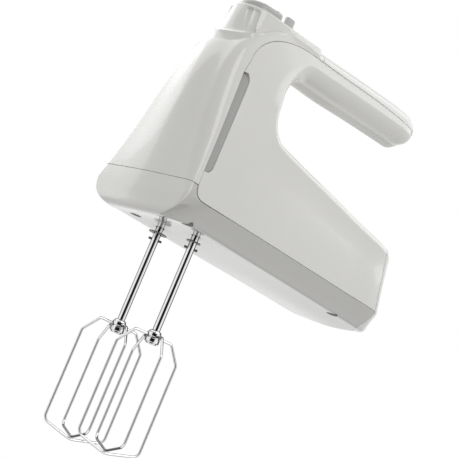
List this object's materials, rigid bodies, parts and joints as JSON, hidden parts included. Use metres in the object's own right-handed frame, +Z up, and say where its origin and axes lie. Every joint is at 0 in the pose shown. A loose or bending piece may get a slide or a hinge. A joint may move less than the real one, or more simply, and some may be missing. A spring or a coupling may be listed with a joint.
{
  "type": "hand mixer",
  "caption": "Hand-held electric mixer: glossy moulded body with an open grip, eject button and speed slider on top, and a pair of counter-rotating wire whisks below.",
  "frame": {"origin": "midway between the two spindle axes, on the flat of the underside", "axes": "+Z up, with the beaters hanging along -Z; +X from the nose to the heel; -Y is the mixer's left side, seen by the hand that holds it"},
  "size_m": [0.2241, 0.086, 0.3106],
  "materials": {
    "white_plastic": "glossy moulded white",
    "grey_plastic": "satin light grey",
    "dark_grey_plastic": "matt dark grey",
    "black_plastic": "matt black",
    "nylon": "natural nylon",
    "carbon": "sintered carbon",
    "rubber": "moulded rubber",
    "chrome": "bright chrome plate",
    "steel": "ground steel",
    "lamination_steel": "stacked electrical steel",
    "aluminium": "die cast",
    "bronze": "sintered bronze and brass sheet",
    "copper": "enamelled copper"
  },
  "bodies": {
    "housing": {"front_shell": "white_plastic", "chin_cap": "white_plastic", "left_housing": "white_plastic", "right_housing": "white_plastic", "handle_cover": "white_plastic", "base_cover": "white_plastic", "heel_cap": "white_plastic", "vent_left": "dark_grey_plastic", "vent_right": "dark_grey_plastic", "ejector_springs": "steel", "speed_switch": "black_plastic", "gear_bracket": "aluminium", "spindle_bushes": "bronze", "shaft_bushes": "bronze", "stator_core": "lamination_steel", "field_coils": "copper", "rear_bracket": "aluminium", "brush_holders": "bronze", "carbon_brushes": "carbon", "terminal_block": "nylon", "cord_grommet": "rubber", "base_screws": "steel", "bracket_screws": "steel"},
    "eject": {"eject_button": "grey_plastic", "ejector_yoke": "grey_plastic"},
    "slider": {"speed_slider": "grey_plastic"},
    "armature": {"motor_shaft": "steel", "worm": "steel", "armature_core": "lamination_steel", "armature_windings": "copper", "commutator": "copper", "fan": "black_plastic"},
    "spindle_l": {"spindle_left": "steel", "worm_wheel_left": "nylon"},
    "spindle_r": {"spindle_right": "steel", "worm_wheel_right": "nylon"},
    "beater_l": {"beater_left": "chrome", "hub_left": "chrome", "loop_a_left": "chrome", "loop_b_left": "chrome"},
    "beater_r": {"beater_right": "chrome", "hub_right": "chrome", "loop_a_right": "chrome", "loop_b_right": "chrome"}
  },
  "joints": [
    {"name": "eject_press", "type": "slide", "parent": "housing", "child": "eject", "axis": [0, 0, -1], "range_m": [0, 0.006], "stiffness_N_per_m": 500, "springref_m": -0.006, "deforming": ["ejector_springs"]},
    {"name": "speed_slide", "type": "slide", "parent": "housing", "child": "slider", "axis": [0.9991, 0, 0.042], "range_m": [0, 0.015]},
    {"name": "motor_spin", "type": "hinge", "parent": "housing", "child": "armature", "pos_m": [0.075, 0, 0.04], "axis": [1, 0, 0], "continuous": true},
    {"name": "spindle_left_spin", "type": "hinge", "parent": "housing", "child": "spindle_l", "pos_m": [0, -0.0172, 0.03], "axis": [0, 0, 1], "continuous": true},
    {"name": "spindle_right_spin", "type": "hinge", "parent": "housing", "child": "spindle_r", "pos_m": [0, 0.0172, 0.03], "axis": [0, 0, 1], "continuous": true},
    {"name": "beater_left_release", "type": "slide", "parent": "spindle_l", "child": "beater_l", "axis": [0, 0, -1], "range_m": [0, 0.045]},
    {"name": "beater_right_release", "type": "slide", "parent": "spindle_r", "child": "beater_r", "axis": [0, 0, -1], "range_m": [0, 0.045]}
  ],
  "couplings": [
    {"joint": "spindle_left_spin", "follows": "motor_spin", "ratio": 0.038462},
    {"joint": "spindle_right_spin", "follows": "motor_spin", "ratio": -0.038462}
  ]
}
